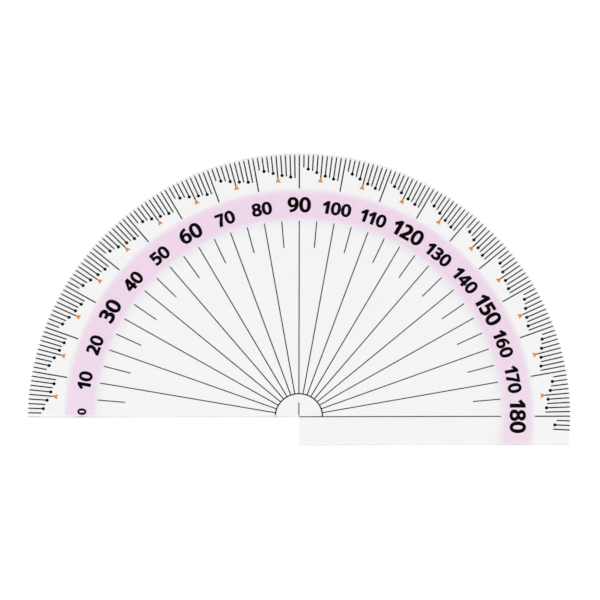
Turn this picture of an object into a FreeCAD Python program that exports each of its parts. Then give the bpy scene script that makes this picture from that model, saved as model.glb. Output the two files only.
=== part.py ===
import FreeCAD, Part
import math
import os

os.makedirs("parts", exist_ok=True)

# Clear protractor, millimetres. The origin is the protractor's centre point on its underside.
# +X runs along the base line to 180 degrees, +Y points to 90 degrees, and +Z goes up through the sheet.
# Angles are the printed ones: 0 on the straight edge at the left, 90 at the top, 180 at the right.

# Sheet
plate_radius = 75.0
plate_thickness = 2.0
lip_depth = 8.0
top_easing = 0.25
corner_radius = 0.4

# Print, laid flush in the underside
ink_depth = 0.03
edge_margin = 0.2

# Degree scale: the marks of the tens are the longest, and the others are shares of their length
# by the last figure of the angle
mark_width = 0.335
ten_mark_length = 9.6
mark_length_shares = {
    1: 0.37, 2: 0.417, 3: 0.469, 4: 0.51, 5: 0.667, 6: 0.594, 7: 0.63, 8: 0.656, 9: 0.693, 0: 1,
}
dotted_marks = (2, 4, 6, 8)
dot_radius = 0.455
last_mark = 183
pointer_height = 1.25
pointer_width = 1.42
pointer_notch = 0.12
pointer_gap = 0.05

# Tinted band and its numerals
band_gap = 0.55
band_width = 7.95
foot_margin = 1.7
minor_height = 3.55
major_height = 4.2
zero_height = 2.25
zero_foot_margin = 2.25
zero_side_margin = 0.75
major_angles = (30, 60, 90, 120, 150, 180)
ink_spread = 0.09
figure_gap_share = 0.064
after_one_gap_share = 0.165
between_ones_gap_share = 0.14

# Lines inside the band
ray_gap = 0.75
ray_width = 0.275
short_ray_length = 7.65
short_ray_width = 0.275
arc_radius = 6.55
arc_width = 0.33
base_line_width = 0.26
centre_mark_length = 4.0

# Figure outlines in shares of the figure's height, from its left foot: two numbers are the end of
# a straight side, six are a cubic curve. The first outline of a figure is its outside, the rest its holes.
one_shares = [
    [(0.285, 0), (0.51, 0), (0.51, 1), (0.325, 1), (0, 0.71), (0.10, 0.56), (0.285, 0.715)],
]
zero_shares = [
    [(0.375, 1.015), (0.60, 1.015, 0.75, 0.82, 0.75, 0.5), (0.75, 0.18, 0.60, -0.015, 0.375, -0.015),
     (0.15, -0.015, 0, 0.18, 0, 0.5), (0, 0.82, 0.15, 1.015, 0.375, 1.015)],
    [(0.375, 0.845), (0.475, 0.845, 0.54, 0.72, 0.54, 0.5), (0.54, 0.28, 0.475, 0.155, 0.375, 0.155),
     (0.275, 0.155, 0.21, 0.28, 0.21, 0.5), (0.21, 0.72, 0.275, 0.845, 0.375, 0.845)],
]
two_shares = [
    [(0, 0), (0.66, 0), (0.66, 0.18), (0.30, 0.18), (0.48, 0.35, 0.62, 0.50, 0.62, 0.71),
     (0.62, 0.90, 0.49, 1.015, 0.29, 1.015), (0.19, 1.015, 0.09, 0.985, 0.015, 0.93),
     (0.085, 0.765), (0.14, 0.81, 0.195, 0.835, 0.255, 0.835), (0.34, 0.835, 0.39, 0.78, 0.39, 0.695),
     (0.39, 0.58, 0.31, 0.48, 0, 0.155)],
]
three_shares = [
    [(0.02, 0.935), (0.10, 0.985, 0.20, 1.015, 0.31, 1.015), (0.52, 1.015, 0.645, 0.92, 0.645, 0.765),
     (0.645, 0.655, 0.58, 0.575, 0.475, 0.54), (0.61, 0.505, 0.685, 0.42, 0.685, 0.295),
     (0.685, 0.105, 0.53, -0.015, 0.28, -0.015), (0.17, -0.015, 0.07, 0.01, 0, 0.05),
     (0.045, 0.225), (0.115, 0.185, 0.185, 0.16, 0.26, 0.16), (0.38, 0.16, 0.455, 0.215, 0.455, 0.305),
     (0.455, 0.395, 0.385, 0.455, 0.26, 0.455), (0.14, 0.455), (0.14, 0.62), (0.25, 0.62),
     (0.355, 0.62, 0.42, 0.665, 0.42, 0.74), (0.42, 0.805, 0.37, 0.84, 0.28, 0.84),
     (0.21, 0.84, 0.14, 0.82, 0.075, 0.775)],
]
four_shares = [
    [(0.43, 0), (0.645, 0), (0.645, 0.205), (0.745, 0.205), (0.745, 0.38), (0.645, 0.38), (0.645, 1),
     (0.40, 1), (0, 0.38), (0, 0.205), (0.43, 0.205)],
    [(0.21, 0.38), (0.43, 0.38), (0.43, 0.74)],
]
five_shares = [
    [(0.04, 1), (0.61, 1), (0.61, 0.825), (0.235, 0.825), (0.225, 0.655),
     (0.265, 0.665, 0.30, 0.67, 0.335, 0.67), (0.535, 0.67, 0.655, 0.535, 0.655, 0.335),
     (0.655, 0.115, 0.505, -0.015, 0.265, -0.015), (0.165, -0.015, 0.075, 0.005, 0, 0.04),
     (0.03, 0.215), (0.10, 0.18, 0.17, 0.16, 0.235, 0.16), (0.365, 0.16, 0.44, 0.225, 0.44, 0.33),
     (0.44, 0.44, 0.37, 0.50, 0.24, 0.50), (0.175, 0.50, 0.11, 0.485, 0.045, 0.455)],
]
six_shares = [
    [(0.545, 1.005), (0.20, 0.965, 0, 0.765, 0, 0.42), (0, 0.145, 0.135, -0.015, 0.36, -0.015),
     (0.57, -0.015, 0.705, 0.12, 0.705, 0.33), (0.705, 0.53, 0.59, 0.66, 0.42, 0.66),
     (0.34, 0.66, 0.275, 0.63, 0.225, 0.58), (0.255, 0.73, 0.375, 0.83, 0.575, 0.85)],
    [(0.36, 0.515), (0.45, 0.515, 0.505, 0.445, 0.505, 0.33), (0.505, 0.215, 0.45, 0.145, 0.36, 0.145),
     (0.265, 0.145, 0.205, 0.22, 0.205, 0.335), (0.205, 0.445, 0.265, 0.515, 0.36, 0.515)],
]
seven_shares = [
    [(0, 1), (0.66, 1), (0.66, 0.865), (0.52, 0.62, 0.42, 0.30, 0.365, 0), (0.13, 0),
     (0.19, 0.30, 0.30, 0.57, 0.445, 0.825), (0, 0.825)],
]
eight_shares = [
    [(0.375, 1.015), (0.58, 1.015, 0.71, 0.915, 0.71, 0.765), (0.71, 0.66, 0.655, 0.585, 0.565, 0.535),
     (0.68, 0.485, 0.745, 0.395, 0.745, 0.28), (0.745, 0.10, 0.60, -0.015, 0.372, -0.015),
     (0.145, -0.015, 0, 0.10, 0, 0.275), (0, 0.39, 0.065, 0.48, 0.18, 0.53),
     (0.09, 0.58, 0.04, 0.655, 0.04, 0.755), (0.04, 0.91, 0.17, 1.015, 0.375, 1.015)],
    [(0.375, 0.86), (0.46, 0.86, 0.51, 0.82, 0.51, 0.75), (0.51, 0.68, 0.46, 0.635, 0.375, 0.61),
     (0.29, 0.635, 0.24, 0.68, 0.24, 0.75), (0.24, 0.82, 0.29, 0.86, 0.375, 0.86)],
    [(0.372, 0.455), (0.475, 0.42, 0.535, 0.365, 0.535, 0.285), (0.535, 0.20, 0.475, 0.145, 0.372, 0.145),
     (0.27, 0.145, 0.21, 0.20, 0.21, 0.285), (0.21, 0.365, 0.27, 0.42, 0.372, 0.455)],
]


def half_turn_shares(contour, width_share):
    """The same outline turned upside down within its height and width."""
    return [tuple(width_share - n if i % 2 == 0 else 1 - n for i, n in enumerate(step)) for step in contour]


nine_shares = [half_turn_shares(contour, 0.705) for contour in six_shares]
figure_shares = {
    "0": zero_shares, "1": one_shares, "2": two_shares, "3": three_shares, "4": four_shares,
    "5": five_shares, "6": six_shares, "7": seven_shares, "8": eight_shares, "9": nine_shares,
}
figure_width_share = {
    "0": 0.75, "1": 0.51, "2": 0.66, "3": 0.685, "4": 0.745,
    "5": 0.655, "6": 0.705, "7": 0.66, "8": 0.745, "9": 0.705,
}

right_angle = 90
straight_angle = 180

# Radii, from the sheet's edge inwards
scale_radius = plate_radius - edge_margin
band_outer_radius = scale_radius - ten_mark_length - band_gap
band_inner_radius = band_outer_radius - band_width
numeral_foot_radius = band_inner_radius + foot_margin
zero_foot_radius = band_inner_radius + zero_foot_margin
ray_outer_radius = band_inner_radius - ray_gap
short_ray_inner_radius = ray_outer_radius - short_ray_length
origin = FreeCAD.Vector(0, 0, 0)
up = FreeCAD.Vector(0, 0, 1)


def point(x, y):
    return FreeCAD.Vector(x, y, 0)


def on_circle(radius, angle):
    """Point at a printed angle: 0 at the left, 90 at the top."""
    turn = math.radians(angle)
    return point(-radius * math.cos(turn), radius * math.sin(turn))


def line(start, end):
    return Part.LineSegment(start, end).toShape()


def arc(start, middle, end):
    return Part.Arc(start, middle, end).toShape()


def polygon(points):
    return Part.Wire([line(a, b) for a, b in zip(points, points[1:] + points[:1])])


def films(outlines):
    """Ink films between closed outlines, nested ones in turn ink and hole, from the underside up."""
    faces = Part.makeFace(outlines, "Part::FaceMakerBullseye").Faces
    return [face.extrude(up * ink_depth) for face in faces]


def film(outline):
    return films([outline])[0]


def turned(shape, angle):
    """A shape drawn at the 90 degree place, moved to a printed angle."""
    return shape.rotated(origin, up, right_angle - angle)


def write(node, solids):
    Part.makeCompound(solids).exportStep("parts/" + node + ".step")


def stroke(inner, outer, width):
    """Straight line up the 90 degree direction."""
    half = width / 2
    return polygon([point(-half, inner), point(half, inner), point(half, outer), point(-half, outer)])


def dotted_stroke(dot_centre, outer, width, radius):
    """Line that ends in a round dot at its inner end, as one outline."""
    half = width / 2
    shoulder = dot_centre + math.sqrt(radius * radius - half * half)
    right, left = point(half, shoulder), point(-half, shoulder)
    top_right, top_left = point(half, outer), point(-half, outer)
    round_end = arc(left, point(0, dot_centre - radius), right)
    return Part.Wire([line(top_right, top_left), line(top_left, left), round_end, line(right, top_right)])


def mark_inner_radius(last_figure):
    return scale_radius - ten_mark_length * mark_length_shares[last_figure]


def degree_mark(angle):
    last_figure = angle % 10
    inner = mark_inner_radius(last_figure)
    if last_figure in dotted_marks:
        outline = dotted_stroke(inner, scale_radius, mark_width, dot_radius)
    else:
        outline = stroke(inner, scale_radius, mark_width)
    return turned(film(outline), angle)


def pointer(angle):
    """Arrowhead under a 5 degree mark, as wide as the mark at its tip, with a shallow notch in its base."""
    tip = mark_inner_radius(5) - pointer_gap
    base = tip - pointer_height
    half_tip = mark_width / 2
    half_base = pointer_width / 2
    outline = polygon([
        point(half_tip, tip), point(-half_tip, tip), point(-half_base, base),
        point(0, base + pointer_notch), point(half_base, base),
    ])
    return turned(film(outline), angle)


def spread(corners, is_hole):
    """An outline as printed: its ink has spread a little past the drawn edge, outwards and into holes."""
    ring = list(zip(corners[-1:] + corners[:-1], corners, corners[1:] + corners[:1]))
    turns_left = sum(here.cross(after).z for before, here, after in ring) > 0
    distance = ink_spread if turns_left != is_hole else -ink_spread
    moved = []
    for before, here, after in ring:
        sides = [(here - before).normalize(), (after - here).normalize()]
        first, second = [point(side.y, -side.x) for side in sides]
        moved.append(here + (first + second) * (distance / (1 + first.dot(second))))
    return moved


def figure_wire(shares, height, left, foot, is_hole):
    """One outline of a figure, upright at the 90 degree place."""
    corners = [
        point(left + x * height, foot + y * height)
        for step in shares for x, y in zip(step[0::2], step[1::2])
    ]
    ends_at_start = shares[-1][-2:] == shares[0]
    corners = spread(corners[:-1] if ends_at_start else corners, is_hole)
    start = corners[0]
    rest = iter(corners[1:] + [start])
    here = start
    edges = []
    for step in shares[1:]:
        poles = [next(rest) for _ in step[0::2]]
        if len(poles) == 1:
            edges.append(line(here, poles[0]))
        else:
            curve = Part.BezierCurve()
            curve.setPoles([here, *poles])
            edges.append(curve.toShape())
        here = poles[-1]
    if not ends_at_start:
        edges.append(line(here, start))
    return Part.Wire(edges)


def gap_share(figure, following):
    if figure != "1":
        return figure_gap_share
    return between_ones_gap_share if following == "1" else after_one_gap_share


def numeral(text, height, foot, angle):
    """Outlines of a number's figures, centred on its angle with the tops outwards."""
    gaps = [gap_share(a, b) for a, b in zip(text, text[1:])] + [0]
    width_share = sum(figure_width_share[figure] for figure in text) + sum(gaps)
    left = -width_share * height / 2
    wires = []
    for figure, gap in zip(text, gaps):
        for order, contour in enumerate(figure_shares[figure]):
            wires.append(figure_wire(contour, height, left, foot, order > 0))
        left += (figure_width_share[figure] + gap) * height
    return [turned(wire, angle) for wire in wires]


def half_ring(inner, outer, end_level):
    """Ring from the straight edge on the left, over the top, down to a level on the right."""
    inner_end = point(math.sqrt(inner * inner - end_level * end_level), end_level)
    outer_end = point(math.sqrt(outer * outer - end_level * end_level), end_level)
    return Part.Wire([
        arc(on_circle(inner, 0), on_circle(inner, right_angle), inner_end),
        line(inner_end, outer_end),
        arc(outer_end, on_circle(outer, right_angle), on_circle(outer, 0)),
        line(on_circle(outer, 0), on_circle(inner, 0)),
    ])


def ray(inner, outer, width, angle):
    """Line whose inner end is hollowed to lie against the centre arc."""
    half = width / 2
    rise = math.sqrt(inner * inner - half * half)
    left, right = point(-half, rise), point(half, rise)
    top_left, top_right = point(-half, outer), point(half, outer)
    outline = Part.Wire([
        arc(left, point(0, inner), right),
        line(right, top_right),
        line(top_right, top_left),
        line(top_left, left),
    ])
    return turned(film(outline), angle)


# Numbers on the band; the small zero stands just clear of the straight edge
zero_half_width = zero_height * figure_width_share["0"] / 2
zero_centre_radius = zero_foot_radius + zero_height / 2
zero_angle = math.degrees(math.asin((zero_side_margin + zero_half_width) / zero_centre_radius))
numerals = {0: numeral("0", zero_height, zero_foot_radius, zero_angle)}
for angle in range(10, straight_angle + 1, 10):
    height = major_height if angle in major_angles else minor_height
    numerals[angle] = numeral(str(angle), height, numeral_foot_radius, angle)
for angle, wires in numerals.items():
    write("numeral_%d" % angle, films(wires))

# Tinted band, left open where the numbers are, with its own ink inside their holes
band_outline = half_ring(band_inner_radius, band_outer_radius, -lip_depth)
write("pink_band", films([band_outline] + [wire for wires in numerals.values() for wire in wires]))

# Degree marks, one node to each ten degrees, the long marks of the tens, and the arrowheads of the fives
print_solids = [film(band_outline)]
for tens in range(0, last_mark, 10):
    last = min(tens + 9, last_mark)
    marks = [degree_mark(angle) for angle in range(tens + 1, last + 1)]
    write("degree_marks_%d_to_%d" % (tens + 1, last), marks)
    print_solids += marks
ten_marks = [degree_mark(angle) for angle in range(10, last_mark + 1, 10)]
write("ten_degree_marks", ten_marks)
pointers = [pointer(angle) for angle in range(5, last_mark + 1, 10)]
write("five_degree_pointers", pointers)
print_solids += ten_marks + pointers

# Lines inside the band
arc_inner = arc_radius - arc_width / 2
arc_outer = arc_radius + arc_width / 2
centre_arc = film(half_ring(arc_inner, arc_outer, base_line_width / 2))
long_rays = [ray(arc_outer, ray_outer_radius, ray_width, angle) for angle in range(10, straight_angle, 10)]
short_rays = [
    turned(film(stroke(short_ray_inner_radius, ray_outer_radius, short_ray_width)), angle)
    for angle in range(5, straight_angle, 10)
]
centre_mark = film(stroke(0, centre_mark_length, base_line_width))
base_line = turned(film(stroke(base_line_width / 2, ray_outer_radius, base_line_width)), straight_angle)
write("centre_arc", [centre_arc])
write("ten_degree_rays", long_rays)
write("five_degree_rays", short_rays)
write("centre_mark", [centre_mark])
write("base_line", [base_line])
print_solids += [centre_arc, centre_mark, base_line] + long_rays + short_rays

# Clear sheet: half disc with a lip below the base line on the right, eased along its upper edges
left_end = point(-plate_radius, 0)
lip_end = point(math.sqrt(plate_radius * plate_radius - lip_depth * lip_depth), -lip_depth)
lip_corner = point(0, -lip_depth)
outline = Part.Wire([
    arc(left_end, on_circle(plate_radius, right_angle), lip_end),
    line(lip_end, lip_corner),
    line(lip_corner, origin),
    line(origin, left_end),
])
sheet = Part.Face(outline).extrude(up * plate_thickness)
upright_edges = [edge for edge in sheet.Edges if edge.BoundBox.ZLength > plate_thickness / 2]
sheet = sheet.makeFillet(corner_radius, upright_edges)
upper_edges = [edge for edge in sheet.Edges if edge.BoundBox.ZMin > plate_thickness / 2]
sheet = sheet.makeChamfer(top_easing, upper_edges)
sheet = sheet.cut(print_solids)
write("plate", sheet.Solids)
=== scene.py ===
import math

import bmesh
import bpy
from mathutils import Euler, Matrix, Vector


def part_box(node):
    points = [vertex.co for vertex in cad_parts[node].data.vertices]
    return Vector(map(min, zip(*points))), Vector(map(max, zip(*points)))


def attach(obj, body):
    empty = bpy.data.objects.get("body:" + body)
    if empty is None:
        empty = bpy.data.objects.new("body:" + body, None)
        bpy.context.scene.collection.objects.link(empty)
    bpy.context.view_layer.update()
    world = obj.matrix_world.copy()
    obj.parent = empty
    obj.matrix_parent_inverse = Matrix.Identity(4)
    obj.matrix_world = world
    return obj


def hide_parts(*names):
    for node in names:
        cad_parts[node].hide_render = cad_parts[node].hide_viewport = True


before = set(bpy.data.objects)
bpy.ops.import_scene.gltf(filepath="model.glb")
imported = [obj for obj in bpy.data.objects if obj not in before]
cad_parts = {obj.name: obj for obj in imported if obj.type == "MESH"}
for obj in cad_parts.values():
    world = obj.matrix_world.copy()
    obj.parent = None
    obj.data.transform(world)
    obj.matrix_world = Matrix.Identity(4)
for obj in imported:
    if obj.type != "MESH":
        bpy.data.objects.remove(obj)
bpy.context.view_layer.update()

# Clear sheet
# One piece of 2 mm clear acrylic, cut to a half disc with a lip below the right half of its base line.
# Its side faces and the easing along its straight edges are frosted. The easing round the arc is polished.
mm = 0.001
sheet_low, sheet_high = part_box("plate")
sheet_radius = sheet_high.y
sheet_thickness = sheet_high.z
lip_depth = -sheet_low.y
edge_easing = 0.25 * mm
easing_facets = 4
arc_margin = 4 * edge_easing
corner_radius = 0.4 * mm
corner_facets = 5
print_stands_proud = 0.004 * mm
outline_sides = 720
smooth_below = math.radians(30)
near = 0.01 * mm
acrylic_ior = 1.49
trapped_depth = 2.5
scratch_runs = ((8, 0.09, 3), (-24, 0.12, 11), (71, 0.10, 23))  # turn in degrees, pitch in mm, seed
scratch_stretch = 90
scratch_from = 0.70
scratch_full = 0.76
polished_roughness = 0.008
scratched_roughness = 0.09
cutter_line_pitch = 0.12 * mm
cutter_line_length = 6 * mm


def pick(piece, kind, test):
    """In edit mode, selects the piece's verts, edges or faces whose middle passes the test."""
    bpy.ops.mesh.select_mode(type={"verts": "VERT", "edges": "EDGE", "faces": "FACE"}[kind])
    bpy.ops.mesh.select_all(action="DESELECT")
    shape = bmesh.from_edit_mesh(piece.data)
    for element in getattr(shape, kind):
        corners = [element.co] if kind == "verts" else [v.co for v in element.verts]
        element.select_set(test(sum(corners, Vector()) / len(corners), corners))
    shape.select_flush_mode()
    bmesh.update_edit_mesh(piece.data)


def cut_to_outline(piece):
    """Cuts a flat round piece off below the lip, and along the straight edge on the left."""
    bpy.ops.mesh.select_all(action="SELECT")
    bpy.ops.mesh.bisect(plane_co=(0, -lip_depth, 0), plane_no=(0, 1, 0), clear_inner=True)
    for normal in ((0, 1, 0), (1, 0, 0)):
        bpy.ops.mesh.select_all(action="SELECT")
        bpy.ops.mesh.bisect(plane_co=(0, 0, 0), plane_no=normal)
    pick(piece, "faces", lambda middle, corners: middle.x < 0 and max(c.y for c in corners) < near)
    bpy.ops.mesh.delete(type="FACE")


def thicken(height):
    """Raises everything in edit mode into a solid of that height, with its faces outwards."""
    bpy.ops.mesh.select_all(action="SELECT")
    bpy.ops.mesh.extrude_region_move(TRANSFORM_OT_translate={"value": (0, 0, height)})
    bpy.ops.mesh.select_all(action="SELECT")
    bpy.ops.mesh.remove_doubles(threshold=near / 10)
    bpy.ops.mesh.normals_make_consistent(inside=False)


bpy.ops.object.select_all(action="DESELECT")
bpy.ops.mesh.primitive_circle_add(
    vertices=outline_sides, radius=sheet_radius, fill_type="NGON", location=(0, 0, print_stands_proud)
)
sheet = bpy.context.object
sheet.name = "clear_sheet"
bpy.ops.object.transform_apply(location=True, rotation=True, scale=True)
bpy.ops.object.mode_set(mode="EDIT")
cut_to_outline(sheet)
bpy.ops.mesh.select_all(action="SELECT")
bpy.ops.mesh.dissolve_faces()
lip_end = math.sqrt(sheet_radius ** 2 - lip_depth ** 2)
outline_corners = [(-sheet_radius, 0), (0, 0), (0, -lip_depth), (lip_end, -lip_depth)]


def to_corner(middle):
    """Distance to the nearest corner of the outline."""
    return min(math.hypot(middle.x - x, middle.y - y) for x, y in outline_corners)


pick(sheet, "verts", lambda middle, corners: near < to_corner(middle) < 2 * corner_radius)
bpy.ops.mesh.dissolve_verts()
pick(sheet, "verts", lambda middle, corners: to_corner(middle) < near)
bpy.ops.mesh.bevel(offset=corner_radius, segments=corner_facets, profile=0.5, affect="VERTICES")
thicken(sheet_thickness - print_stands_proud)
pick(sheet, "edges", lambda middle, corners: min(c.z for c in corners) > sheet_thickness - near)
bpy.ops.mesh.bevel(offset=edge_easing, segments=easing_facets, profile=0.5, affect="EDGES")
bpy.ops.object.mode_set(mode="OBJECT")
bpy.ops.object.shade_smooth_by_angle(angle=smooth_below)
bpy.ops.object.modifier_add(type="WEIGHTED_NORMAL")
sheet.modifiers[-1].keep_sharp = True
bpy.ops.object.modifier_apply(modifier=sheet.modifiers[-1].name)


def new_material(name):
    """A material, its node tree, and its principled shader and output nodes."""
    material = bpy.data.materials.new(name)
    material.use_nodes = True
    tree = material.node_tree
    return material, tree, tree.nodes["Principled BSDF"], tree.nodes["Material Output"]


def add(tree, kind, inputs=None, **settings):
    """A node with its settings, and its inputs set to values or joined to other nodes' sockets."""
    node = tree.nodes.new(kind)
    for name, value in settings.items():
        setattr(node, name, value)
    for name, value in (inputs or {}).items():
        if isinstance(value, bpy.types.NodeSocket):
            tree.links.new(value, node.inputs[name])
        else:
            node.inputs[name].default_value = value
    return node


def hairlines(tree, turn, pitch, seed):
    """Mask of fine straight scratches that run one way across the sheet."""
    place = add(tree, "ShaderNodeTexCoord").outputs["Object"]
    stretched = add(tree, "ShaderNodeMapping", {
        "Vector": place,
        "Location": (seed, seed, 0),
        "Rotation": (0, 0, turn),
        "Scale": (1 / pitch / scratch_stretch, 1 / pitch, 1),
    })
    streaks = add(tree, "ShaderNodeTexNoise", {
        "Vector": stretched.outputs["Vector"], "Scale": 1, "Detail": 1, "Roughness": 0.4,
    })
    return add(tree, "ShaderNodeMapRange", {
        "Value": streaks.outputs["Fac"],
        "From Min": scratch_from, "From Max": scratch_full, "To Min": 0, "To Max": 1,
    }).outputs["Result"]


def let_light_by(tree, surface, output, lamp_tint, trapped_tint):
    """Lets lamps through to the print and the paper, and lets out light that is caught between the faces."""
    ray = add(tree, "ShaderNodeLightPath")
    for_lamps = add(tree, "ShaderNodeMath", {
        0: ray.outputs["Is Shadow Ray"], 1: ray.outputs["Is Diffuse Ray"],
    }, operation="MAXIMUM").outputs[0]
    trapped = add(tree, "ShaderNodeMath", {
        0: ray.outputs["Ray Depth"], 1: trapped_depth,
    }, operation="GREATER_THAN").outputs[0]
    either = add(tree, "ShaderNodeMath", {0: for_lamps, 1: trapped}, operation="MAXIMUM")
    dimmed = add(tree, "ShaderNodeMath", {0: trapped, 1: for_lamps}, operation="SUBTRACT", use_clamp=True)
    tint = add(tree, "ShaderNodeMapRange", {
        "Value": dimmed.outputs[0], "To Min": lamp_tint, "To Max": trapped_tint,
    })
    through = add(tree, "ShaderNodeBsdfTransparent", {"Color": tint.outputs["Result"]})
    mixed = add(tree, "ShaderNodeMixShader", {
        "Fac": either.outputs[0], 1: surface.outputs["BSDF"], 2: through.outputs["BSDF"],
    })
    tree.links.new(mixed.outputs["Shader"], output.inputs["Surface"])


def clear_acrylic():
    """Polished faces, with a few hairline scratches in three directions."""
    material, tree, surface, output = new_material("clear_acrylic")
    surface.inputs["Base Color"].default_value = (0.985, 0.985, 0.985, 1)
    surface.inputs["Transmission Weight"].default_value = 1
    surface.inputs["IOR"].default_value = acrylic_ior
    scratches = [
        hairlines(tree, math.radians(turn), pitch * mm, seed)
        for turn, pitch, seed in scratch_runs
    ]
    some = add(tree, "ShaderNodeMath", {0: scratches[0], 1: scratches[1]}, operation="MAXIMUM")
    worn = add(tree, "ShaderNodeMath", {0: some.outputs[0], 1: scratches[2]}, operation="MAXIMUM")
    polish = add(tree, "ShaderNodeMapRange", {
        "Value": worn.outputs[0], "To Min": polished_roughness, "To Max": scratched_roughness,
    })
    tree.links.new(polish.outputs["Result"], surface.inputs["Roughness"])
    let_light_by(tree, surface, output, lamp_tint=0.96, trapped_tint=0.9)
    return material


def cut_edge():
    """Edges as the cutter left them: frosted, with fine lines across the thickness."""
    material, tree, surface, output = new_material("acrylic_cut_edge")
    surface.inputs["Transmission Weight"].default_value = 0.55
    surface.inputs["IOR"].default_value = acrylic_ior
    place = add(tree, "ShaderNodeTexCoord").outputs["Object"]
    drawn_out = add(tree, "ShaderNodeMapping", {
        "Vector": place, "Scale": (1 / cutter_line_pitch, 1 / cutter_line_pitch, 1 / cutter_line_length),
    })
    lines = add(tree, "ShaderNodeTexNoise", {
        "Vector": drawn_out.outputs["Vector"], "Scale": 1, "Detail": 2, "Roughness": 0.5,
    }).outputs["Fac"]
    tone = add(tree, "ShaderNodeValToRGB", {"Fac": lines})
    tone.color_ramp.elements[0].color = (0.92, 0.93, 0.93, 1)
    tone.color_ramp.elements[1].color = (0.99, 0.99, 0.99, 1)
    tree.links.new(tone.outputs["Color"], surface.inputs["Base Color"])
    frost = add(tree, "ShaderNodeMapRange", {
        "Value": lines, "From Min": 0.3, "From Max": 0.7, "To Min": 0.35, "To Max": 0.6,
    })
    tree.links.new(frost.outputs["Result"], surface.inputs["Roughness"])
    relief = add(tree, "ShaderNodeBump", {"Height": lines, "Strength": 0.5, "Distance": 0.01 * mm})
    tree.links.new(relief.outputs["Normal"], surface.inputs["Normal"])
    let_light_by(tree, surface, output, lamp_tint=0.98, trapped_tint=1.0)
    return material


def is_frosted(middle, corners):
    """The upright side faces and, along the straight edges, the easing above them too."""
    rise = max(c.z for c in corners) - min(c.z for c in corners)
    on_arc = middle.xy.length > sheet_radius - arc_margin
    return rise > (sheet_thickness / 2 if on_arc else near)


sheet.data.materials.append(clear_acrylic())
sheet.data.materials.append(cut_edge())
bpy.ops.object.mode_set(mode="EDIT")
pick(sheet, "faces", is_frosted)
sheet.active_material_index = 1
bpy.ops.object.material_slot_assign()
bpy.ops.object.mode_set(mode="OBJECT")
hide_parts("plate")
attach(sheet, "root")

# Black print
# The numbers, degree marks, rays, centre arc and mark, and base line are one pass of satin black ink.
# It is printed on the sheet's underside, so it touches the paper and is seen through the acrylic.
ink_sheen = 0.03
ink_relief = 0.002 * mm


def ink_grain(tree, pitch, low, high):
    """Fine mottle of a printed film, as a value between low and high."""
    place = add(tree, "ShaderNodeTexCoord").outputs["Object"]
    mottle = add(tree, "ShaderNodeTexNoise", {
        "Vector": place, "Scale": 1 / pitch, "Detail": 3, "Roughness": 0.6,
    })
    return add(tree, "ShaderNodeMapRange", {
        "Value": mottle.outputs["Fac"], "From Min": 0.3, "From Max": 0.7, "To Min": low, "To Max": high,
    }).outputs["Result"]


def give_grain(tree, surface):
    """Satin roughness and a faint relief, as a screen leaves in ink."""
    roughness = ink_grain(tree, pitch=0.25 * mm, low=0.38, high=0.52)
    tree.links.new(roughness, surface.inputs["Roughness"])
    relief = add(tree, "ShaderNodeBump", {
        "Height": ink_grain(tree, pitch=0.12 * mm, low=0, high=1), "Strength": 0.4, "Distance": ink_relief,
    })
    tree.links.new(relief.outputs["Normal"], surface.inputs["Normal"])


def ink(name, grain_pitch, deep, pale):
    """A satin ink that varies between two colours, as its material, node tree, shader and output."""
    material, tree, surface, output = new_material(name)
    density = add(tree, "ShaderNodeValToRGB", {"Fac": ink_grain(tree, grain_pitch, low=0, high=1)})
    density.color_ramp.elements[0].color = deep
    density.color_ramp.elements[1].color = pale
    tree.links.new(density.outputs["Color"], surface.inputs["Base Color"])
    surface.inputs["Specular IOR Level"].default_value = ink_sheen
    give_grain(tree, surface)
    return material, tree, surface, output


black_ink = ink("black_ink", 0.4 * mm, deep=(0.0006, 0.0003, 0.0007, 1), pale=(0.0020, 0.0012, 0.0022, 1))[0]
for name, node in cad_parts.items():
    if name not in ("plate", "pink_band", "five_degree_pointers"):
        node.data.materials.clear()
        node.data.materials.append(black_ink)

# Tinted band
# A ring of pale pink halftone behind the numbers, with a paler grey at both its rims that is painted shadow:
# the band's soft shadow on the paper, painted into the film.
# It runs from the straight edge round to the bottom of the lip, and the paper's white shines through.
# The grey at the rims is painted shadow. Its rims, its tint, and the share of it taken away under the pink
# are set here with the pink's own.
shadow_rims = (54.0, 55.6, 64.3, 65.6)  # radii in mm where it begins, is full, thins out again and ends
pink_rims = (55.6, 57.5, 63.3, 65.6)
painted_shadow_tint = (0.982, 0.982, 0.990, 1)
pink_tint = (1, 0.936, 0.985, 1)
shadow_hidden_by_pink = 0.8
film_openness = 0.95
feet_height = 32 * mm
feet_density = 0.85
band_bottom = 0.002 * mm
band_thickness = 0.016 * mm

bpy.ops.object.select_all(action="DESELECT")
bpy.ops.mesh.primitive_circle_add(
    vertices=outline_sides, radius=shadow_rims[0] * mm, fill_type="NOTHING", location=(0, 0, band_bottom)
)
band = bpy.context.object
band.name = "tinted_band"
bpy.ops.object.transform_apply(location=True, rotation=True, scale=True)
bpy.ops.object.mode_set(mode="EDIT")
bpy.ops.mesh.select_all(action="SELECT")
bpy.ops.mesh.extrude_edges_move()
widening = shadow_rims[3] / shadow_rims[0]
bpy.ops.transform.resize(value=(widening, widening, 1), center_override=(0, 0, 0))
cut_to_outline(band)
thicken(band_thickness)
bpy.ops.object.mode_set(mode="OBJECT")
bpy.ops.object.shade_smooth_by_angle(angle=smooth_below)


def cover(tree, value, clear_at, full_at, clear=0):
    """Rises softly from clear to 1 between two values."""
    return add(tree, "ShaderNodeMapRange", {
        "Value": value, "From Min": clear_at, "From Max": full_at, "To Min": clear,
    }, interpolation_type="SMOOTHSTEP").outputs["Result"]


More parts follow.
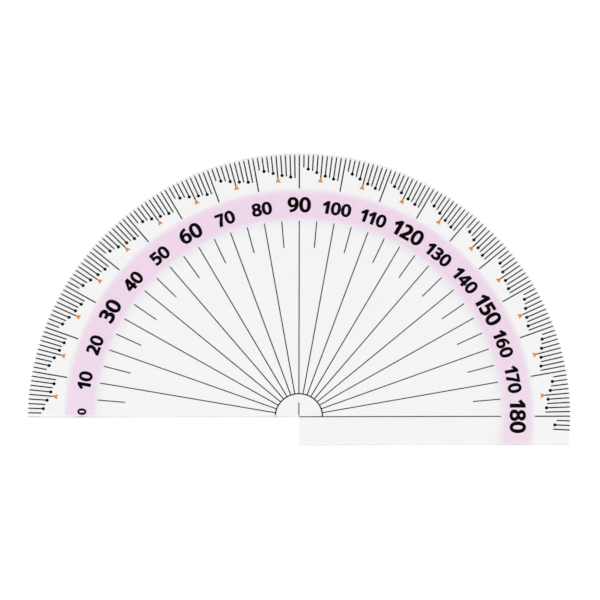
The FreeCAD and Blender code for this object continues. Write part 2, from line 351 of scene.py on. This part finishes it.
def ring(tree, place, rims):
    """How much of the pink or of the painted shadow there is, out from the centre and up from its feet, as a
    value from 0 to 1.
    """
    begins, full, thins, ends = (rim * mm for rim in rims)
    radius = add(tree, "ShaderNodeVectorMath", {0: place}, operation="LENGTH").outputs["Value"]
    height = add(tree, "ShaderNodeSeparateXYZ", {"Vector": place}).outputs["Y"]
    inner = cover(tree, radius, begins, full)
    outer = cover(tree, radius, ends, thins)
    both = add(tree, "ShaderNodeMath", {0: inner, 1: outer}, operation="MULTIPLY").outputs[0]
    laid = cover(tree, height, 0, feet_height, feet_density)
    return add(tree, "ShaderNodeMath", {0: both, 1: laid}, operation="MULTIPLY").outputs[0]


def tinted(tree, amount, colour):
    """The colour of light that comes through that much of the pink or of the painted shadow."""
    ramp = add(tree, "ShaderNodeValToRGB", {"Fac": amount})
    ramp.color_ramp.elements[0].color = (1, 1, 1, 1)
    ramp.color_ramp.elements[1].color = colour
    return ramp.outputs["Color"]


def pink_ink():
    """Translucent film: part of what is seen is the ink's own colour, part the paper through it, with
    painted shadow as a grey tint along both rims.
    """
    material, tree, surface, output = ink(
        "pink_ink", 0.5 * mm, deep=(0.955, 0.73, 0.90, 1), pale=(0.99, 0.79, 0.95, 1)
    )
    place = add(tree, "ShaderNodeTexCoord").outputs["Object"]
    pink = ring(tree, place, pink_rims)
    # Painted shadow: a grey tint along both rims, mostly taken away where the pink is full, that stands in
    # for the band's soft shadow on the paper.
    hidden = add(tree, "ShaderNodeMath", {0: pink, 1: shadow_hidden_by_pink}, operation="MULTIPLY").outputs[0]
    painted_shadow = add(tree, "ShaderNodeMath", {
        0: ring(tree, place, shadow_rims), 1: hidden,
    }, operation="SUBTRACT", use_clamp=True).outputs[0]
    both = add(tree, "ShaderNodeVectorMath", {
        0: tinted(tree, painted_shadow, painted_shadow_tint), 1: tinted(tree, pink, pink_tint),
    }, operation="MULTIPLY")
    through = add(tree, "ShaderNodeBsdfTransparent", {"Color": both.outputs["Vector"]})
    open_share = add(tree, "ShaderNodeMapRange", {"Value": pink, "To Min": 1, "To Max": film_openness})
    mixed = add(tree, "ShaderNodeMixShader", {
        "Fac": open_share.outputs["Result"], 1: surface.outputs["BSDF"], 2: through.outputs["BSDF"],
    })
    tree.links.new(mixed.outputs["Shader"], output.inputs["Surface"])
    return material


band.data.materials.append(pink_ink())
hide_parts("pink_band")
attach(band, "root")

# Orange pointers
# A small arrowhead under each five-degree mark, in a pass of warm orange ink of its own.
# It lies on the sheet's underside like the black, with its tip as wide as the mark above it.
orange_ink = ink("orange_ink", 0.3 * mm, deep=(0.74, 0.27, 0.060, 1), pale=(0.81, 0.315, 0.082, 1))[0]
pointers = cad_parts["five_degree_pointers"]
pointers.data.materials.clear()
pointers.data.materials.append(orange_ink)

# Floor
# White paper just under the sheet. It takes the sheet's faint shadow, and a little light of its own
# brings it up to the white of the studio sweep wherever it is seen, reflected or looked through to.
floor_drop = 0.02 * mm
floor_size = 6.0
paper_glow = 0.25
bpy.ops.object.select_all(action="DESELECT")
bpy.ops.mesh.primitive_plane_add(size=floor_size, location=(0, 0, -floor_drop))
floor = bpy.context.object
floor.name = "floor"
paper, tree, surface, _ = new_material("white_paper")
surface.inputs["Base Color"].default_value = (0.8, 0.8, 0.8, 1)
surface.inputs["Roughness"].default_value = 0.9
surface.inputs["Specular IOR Level"].default_value = 0
ray = add(tree, "ShaderNodeLightPath")
seen = add(tree, "ShaderNodeMath", {
    0: ray.outputs["Is Camera Ray"], 1: ray.outputs["Is Glossy Ray"],
}, operation="MAXIMUM")
seen_or_through = add(tree, "ShaderNodeMath", {
    0: seen.outputs[0], 1: ray.outputs["Is Transmission Ray"],
}, operation="MAXIMUM")
glow = add(tree, "ShaderNodeMath", {0: seen_or_through.outputs[0], 1: paper_glow}, operation="MULTIPLY")
tree.links.new(glow.outputs[0], surface.inputs["Emission Strength"])
surface.inputs["Emission Color"].default_value = (1, 1, 1, 1)
floor.data.materials.append(paper)

# Studio light
# A soft lamp at either side, and a white room that is dark overhead, where the camera stands.
# The polished face mirrors that dark part, so the print keeps its black, and its edges mirror the white.
walls_level = 0.75
overhead_level = 0.03
overhead_from = 0.70
overhead_full = 0.93
scattered_level = 0.45
backdrop_level = 1.0
lamp_aim = Vector((0, 0.03, 0))
world = bpy.data.worlds.new("studio")
bpy.context.scene.world = world
world.use_nodes = True
tree = world.node_tree
room = tree.nodes["Background"]
room.inputs["Color"].default_value = (1, 1, 1, 1)
ray = add(tree, "ShaderNodeLightPath")
way = add(tree, "ShaderNodeSeparateXYZ", {"Vector": add(tree, "ShaderNodeTexCoord").outputs["Generated"]})
mirrored = add(tree, "ShaderNodeMapRange", {
    "Value": way.outputs["Z"],
    "From Min": overhead_from, "From Max": overhead_full, "To Min": walls_level, "To Max": overhead_level,
})
scattered = add(tree, "ShaderNodeMix", {
    "Factor": ray.outputs["Is Diffuse Ray"], "A": mirrored.outputs["Result"], "B": scattered_level,
})
level = add(tree, "ShaderNodeMix", {
    "Factor": ray.outputs["Is Camera Ray"], "A": scattered.outputs["Result"], "B": backdrop_level,
})
tree.links.new(level.outputs["Result"], room.inputs["Strength"])
for name, place, energy, size in (
    ("key_lamp", (-1.05, -0.50, 1.05), 12.5, 0.8),
    ("fill_lamp", (1.15, 0.15, 1.00), 9, 0.8),
):
    bpy.ops.object.light_add(type="AREA", location=place)
    lamp = bpy.context.object
    lamp.name = name
    lamp.data.energy = energy
    lamp.data.size = size
    aim = lamp_aim - Vector(place)
    lamp.rotation_euler = aim.to_track_quat("-Z", "Y").to_euler()

# Camera
# A long lens almost straight above the sheet, a little from its front and turned slightly.
# Its place, turn and focal length were fitted to the printed degree marks.
camera_azimuth = math.radians(4.48)
camera_elevation = math.radians(76.35)
camera_roll = math.radians(-4.50)
camera_distance = 2.1077
camera_aim = Vector((0.00025, 0.03323, 0.00066))
focal_length_px = 7594.6
image_width_px = 600
sensor_width_mm = 36
bpy.ops.object.camera_add()
camera = bpy.context.object
camera.name = "camera"
turn = (
    Euler((0, 0, camera_azimuth)).to_matrix()
    @ Euler((math.pi / 2 - camera_elevation, 0, 0)).to_matrix()
    @ Euler((0, 0, camera_roll)).to_matrix()
)
camera.matrix_world = Matrix.Translation(camera_aim + turn.col[2] * camera_distance) @ turn.to_4x4()
camera.data.sensor_width = sensor_width_mm
camera.data.lens = focal_length_px / image_width_px * sensor_width_mm
camera.data.clip_start = 0.01
camera.data.clip_end = 20
bpy.context.scene.camera = camera
bpy.context.scene.view_settings.view_transform = "Standard"
